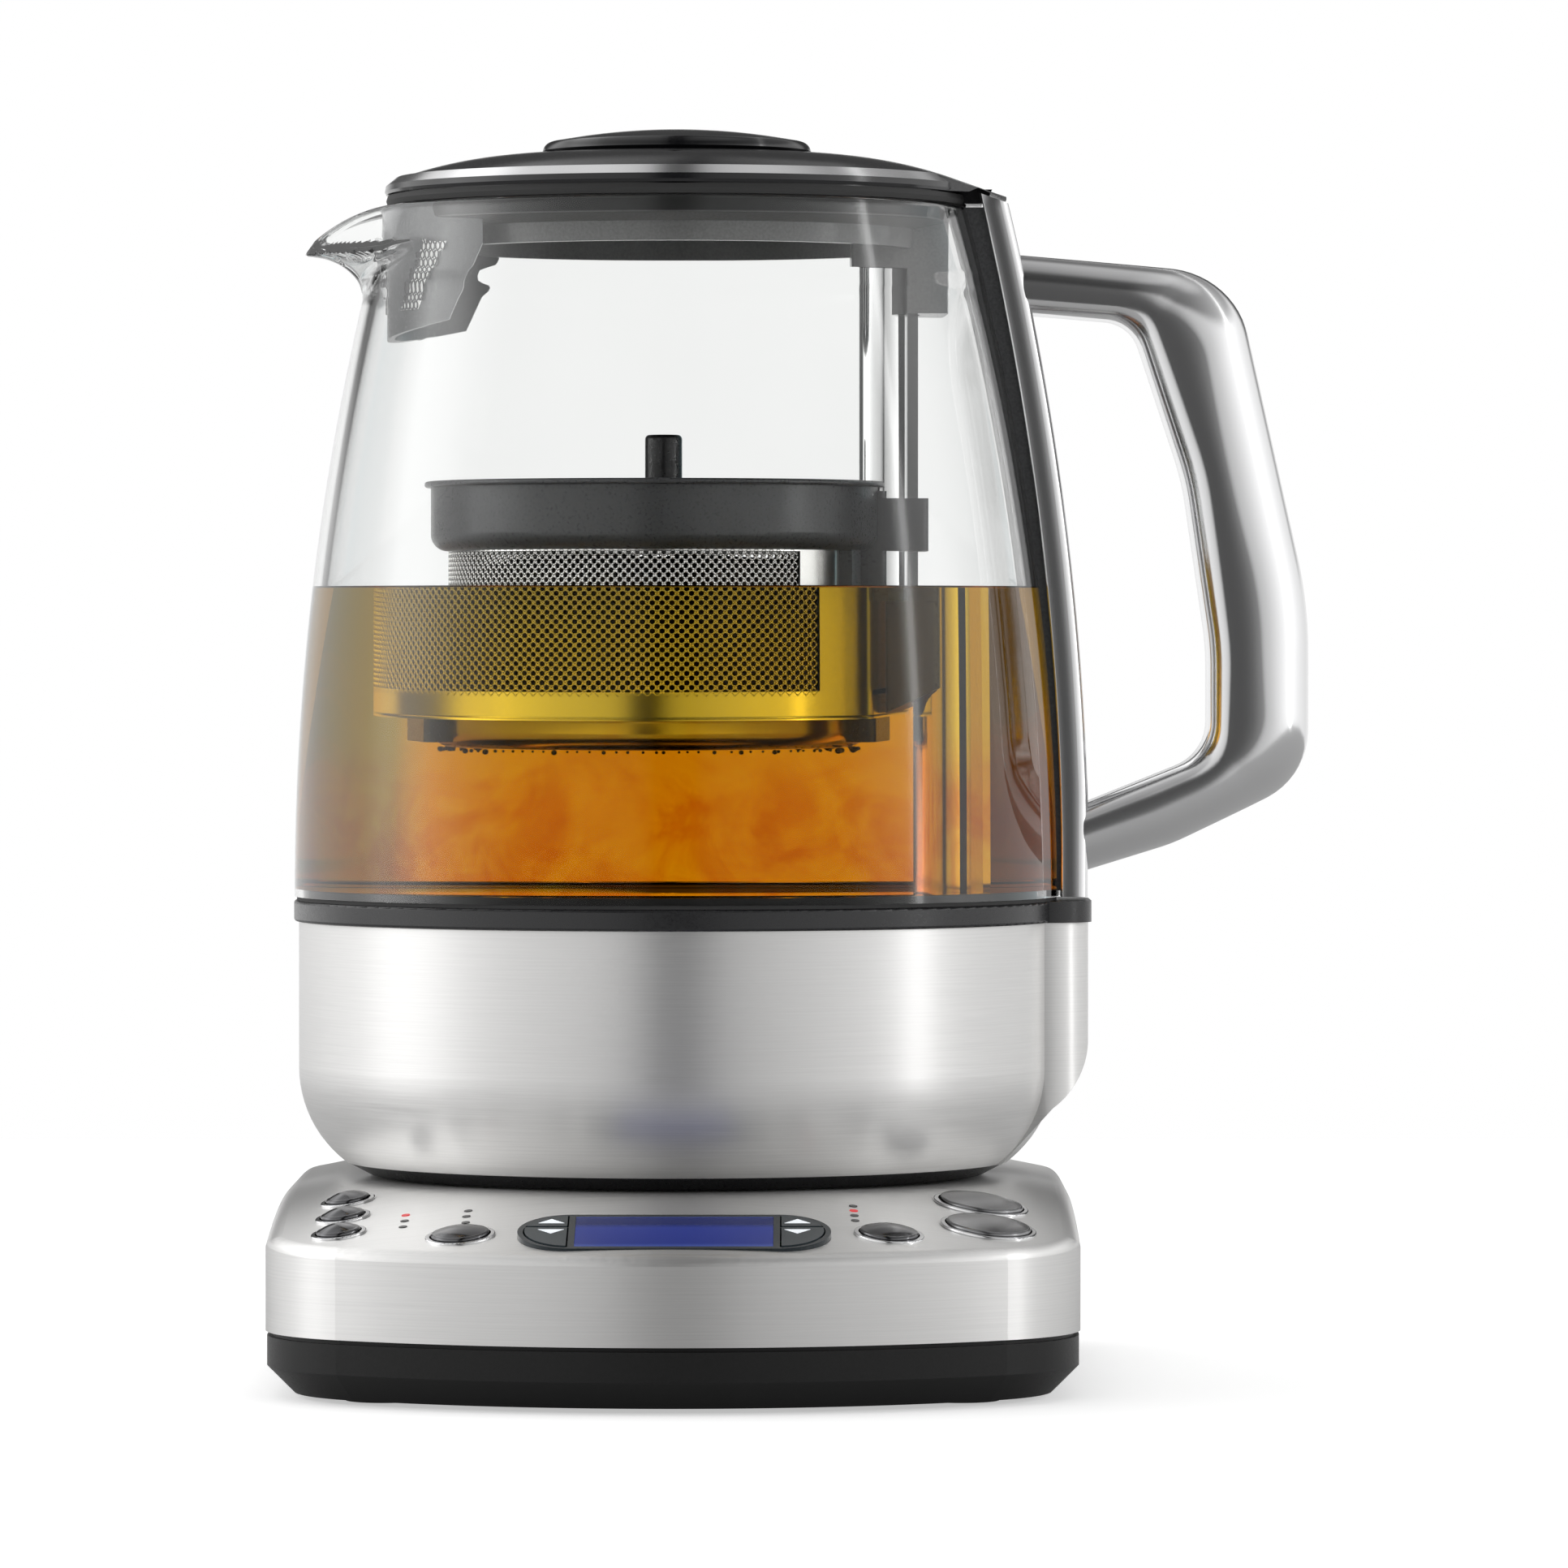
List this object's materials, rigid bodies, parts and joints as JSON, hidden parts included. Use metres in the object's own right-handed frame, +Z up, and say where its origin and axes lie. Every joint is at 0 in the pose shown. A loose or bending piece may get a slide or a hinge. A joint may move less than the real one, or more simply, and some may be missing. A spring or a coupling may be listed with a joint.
{
  "type": "automatic tea maker",
  "caption": "Glass tea kettle with a motor-lifted steel tea basket, black lid and silver handle on a powered base with round buttons and a blue display",
  "frame": {"origin": "on the worktop, under the vertical axis of the jug and its power connector", "axes": "+Z up; -Y the front with the control panel; +X the handle; -X the spout; +Y the back with the cord's gland"},
  "size_m": [0.2153, 0.218, 0.2605],
  "materials": {
    "brushed_steel_shell": "fine horizontal brush lines, satin",
    "black_plastic": "satin black",
    "foot_rubber": "matt",
    "gland_plastic": "matt",
    "silicone": "matt",
    "screw_steel": "zinc plated",
    "circuit_board": "solder mask",
    "switch_plastic": "matt",
    "button_chrome": "polished, domed",
    "key_slate": "gloss",
    "bezel_slate": "gloss",
    "display_blue": "backlit blue",
    "display_cover": "clear",
    "light_clear": "clear; two of the ten are lit red",
    "glass": "clear",
    "plate_steel": "satin",
    "element_aluminium": "cast",
    "sensor_brass": "plain",
    "motor_steel": "plain can",
    "handle_silver": "satin, cast and polished",
    "column_steel": "polished",
    "grey_plastic": "dark grey, slightly clear",
    "smoke_plastic": "smoky grey",
    "magnet_nickel": "nickel plated",
    "carriage_plastic": "white"
  },
  "bodies": {
    "power_base": {"base_shell": "brushed_steel_shell", "base_tray": "black_plastic", "base_feet": "foot_rubber", "base_screws": "screw_steel", "base_connector": "black_plastic", "cord_gland": "gland_plastic", "relay_board": "circuit_board", "control_board": "circuit_board", "tact_switches": "switch_plastic", "button_rings": "button_chrome", "display_bezel": "bezel_slate", "display_window": "display_cover", "display_module": "display_blue", "indicator_lights": "light_clear"},
    "jug_socket_ring": {"jug_socket": "black_plastic"},
    "jug": {"jug_foot": "black_plastic", "jug_skirt": "brushed_steel_shell", "jug_band": "black_plastic", "glass_seal": "silicone", "heating_plate": "plate_steel", "heating_element": "element_aluminium", "temperature_sensor": "sensor_brass", "jug_glass": "glass", "handle_spine": "handle_silver", "spine_liner": "black_plastic", "handle": "handle_silver", "jug_screws": "screw_steel", "lift_motor": "motor_steel", "gearbox": "switch_plastic", "lift_column": "column_steel", "column_cap": "grey_plastic", "column_seal": "silicone"},
    "lift_screw": {"lift_screw": "screw_steel"},
    "magnet_carriage": {"magnet_carriage": "carriage_plastic"},
    "tea_basket": {"basket_rim": "grey_plastic", "basket_cup": "plate_steel", "dish_clips": "grey_plastic", "basket_magnet": "magnet_nickel"},
    "basket_lid": {"basket_lid": "grey_plastic", "basket_lid_knob": "black_plastic"},
    "lid": {"lid_cover": "black_plastic", "lid_trim": "plate_steel", "lid_edge": "black_plastic", "lid_knob": "black_plastic", "lid_skirt": "smoke_plastic", "lid_seal": "silicone", "lid_screws": "screw_steel", "spout_filter": "smoke_plastic", "filter_mesh": "plate_steel"},
    "start_button": {"start_button": "button_chrome"},
    "warm_button": {"warm_button": "button_chrome"},
    "basket_button": {"basket_button": "button_chrome"},
    "tea_select_button": {"tea_select_button": "button_chrome"},
    "strength_select_button": {"strength_select_button": "button_chrome"},
    "hot_water_button": {"hot_water_button": "button_chrome"},
    "tea_button": {"tea_button": "button_chrome"},
    "left_up_key": {"left_up_key": "key_slate"},
    "left_down_key": {"left_down_key": "key_slate"},
    "right_up_key": {"right_up_key": "key_slate"},
    "right_down_key": {"right_down_key": "key_slate"}
  },
  "joints": [
    {"name": "jug_lift", "type": "slide", "parent": "power_base", "child": "jug_socket_ring", "axis": [0, 0, 1], "range_m": [0, 0.12]},
    {"name": "jug_swivel", "type": "hinge", "parent": "jug_socket_ring", "child": "jug", "pos_m": [0, 0, 0.05], "axis": [0, 0, 1], "continuous": true},
    {"name": "lid_lift", "type": "slide", "parent": "jug", "child": "lid", "axis": [0, 0, 1], "range_m": [0, 0.12]},
    {"name": "basket_lift", "type": "slide", "parent": "jug", "child": "tea_basket", "axis": [0, 0, 1], "range_m": [-0.027, 0.034]},
    {"name": "basket_lid_lift", "type": "slide", "parent": "tea_basket", "child": "basket_lid", "axis": [0, 0, 1], "range_m": [0, 0.011]},
    {"name": "carriage_lift", "type": "slide", "parent": "jug", "child": "magnet_carriage", "axis": [0, 0, 1], "range_m": [-0.028, 0.035]},
    {"name": "screw_turn", "type": "hinge", "parent": "jug", "child": "lift_screw", "pos_m": [0.0433, 0, 0.1], "axis": [0, 0, 1], "range_deg": [-1260, 1620]},
    {"name": "start_button_press", "type": "slide", "parent": "power_base", "child": "start_button", "axis": [0.1569, 0.1204, -0.9803], "range_m": [0, 0.0009], "stiffness_N_per_m": 400, "springref_m": -0.001},
    {"name": "warm_button_press", "type": "slide", "parent": "power_base", "child": "warm_button", "axis": [0.1388, 0.1408, -0.9803], "range_m": [0, 0.0009], "stiffness_N_per_m": 400, "springref_m": -0.001},
    {"name": "basket_button_press", "type": "slide", "parent": "power_base", "child": "basket_button", "axis": [0.1241, 0.1539, -0.9803], "range_m": [0, 0.0009], "stiffness_N_per_m": 400, "springref_m": -0.001},
    {"name": "tea_select_button_press", "type": "slide", "parent": "power_base", "child": "tea_select_button", "axis": [0.0791, 0.1812, -0.9803], "range_m": [0, 0.0009], "stiffness_N_per_m": 400, "springref_m": -0.001},
    {"name": "strength_select_button_press", "type": "slide", "parent": "power_base", "child": "strength_select_button", "axis": [-0.0823, 0.1798, -0.9803], "range_m": [0, 0.0009], "stiffness_N_per_m": 400, "springref_m": -0.001},
    {"name": "hot_water_button_press", "type": "slide", "parent": "power_base", "child": "hot_water_button", "axis": [-0.1442, 0.1353, -0.9803], "range_m": [0, 0.0009], "stiffness_N_per_m": 400, "springref_m": -0.001},
    {"name": "tea_button_press", "type": "slide", "parent": "power_base", "child": "tea_button", "axis": [-0.1231, 0.1548, -0.9803], "range_m": [0, 0.0009], "stiffness_N_per_m": 400, "springref_m": -0.001},
    {"name": "left_up_key_press", "type": "slide", "parent": "power_base", "child": "left_up_key", "axis": [0, 0.1977, -0.9803], "range_m": [0, 0.0009], "stiffness_N_per_m": 400, "springref_m": -0.001},
    {"name": "left_down_key_press", "type": "slide", "parent": "power_base", "child": "left_down_key", "axis": [0, 0.1977, -0.9803], "range_m": [0, 0.0009], "stiffness_N_per_m": 400, "springref_m": -0.001},
    {"name": "right_up_key_press", "type": "slide", "parent": "power_base", "child": "right_up_key", "axis": [0, 0.1977, -0.9803], "range_m": [0, 0.0009], "stiffness_N_per_m": 400, "springref_m": -0.001},
    {"name": "right_down_key_press", "type": "slide", "parent": "power_base", "child": "right_down_key", "axis": [0, 0.1977, -0.9803], "range_m": [0, 0.0009], "stiffness_N_per_m": 400, "springref_m": -0.001}
  ],
  "couplings": [
    {"joint": "carriage_lift", "follows": "basket_lift", "ratio": 1},
    {"joint": "screw_turn", "follows": "basket_lift", "rad_per_m": 785.4}
  ]
}
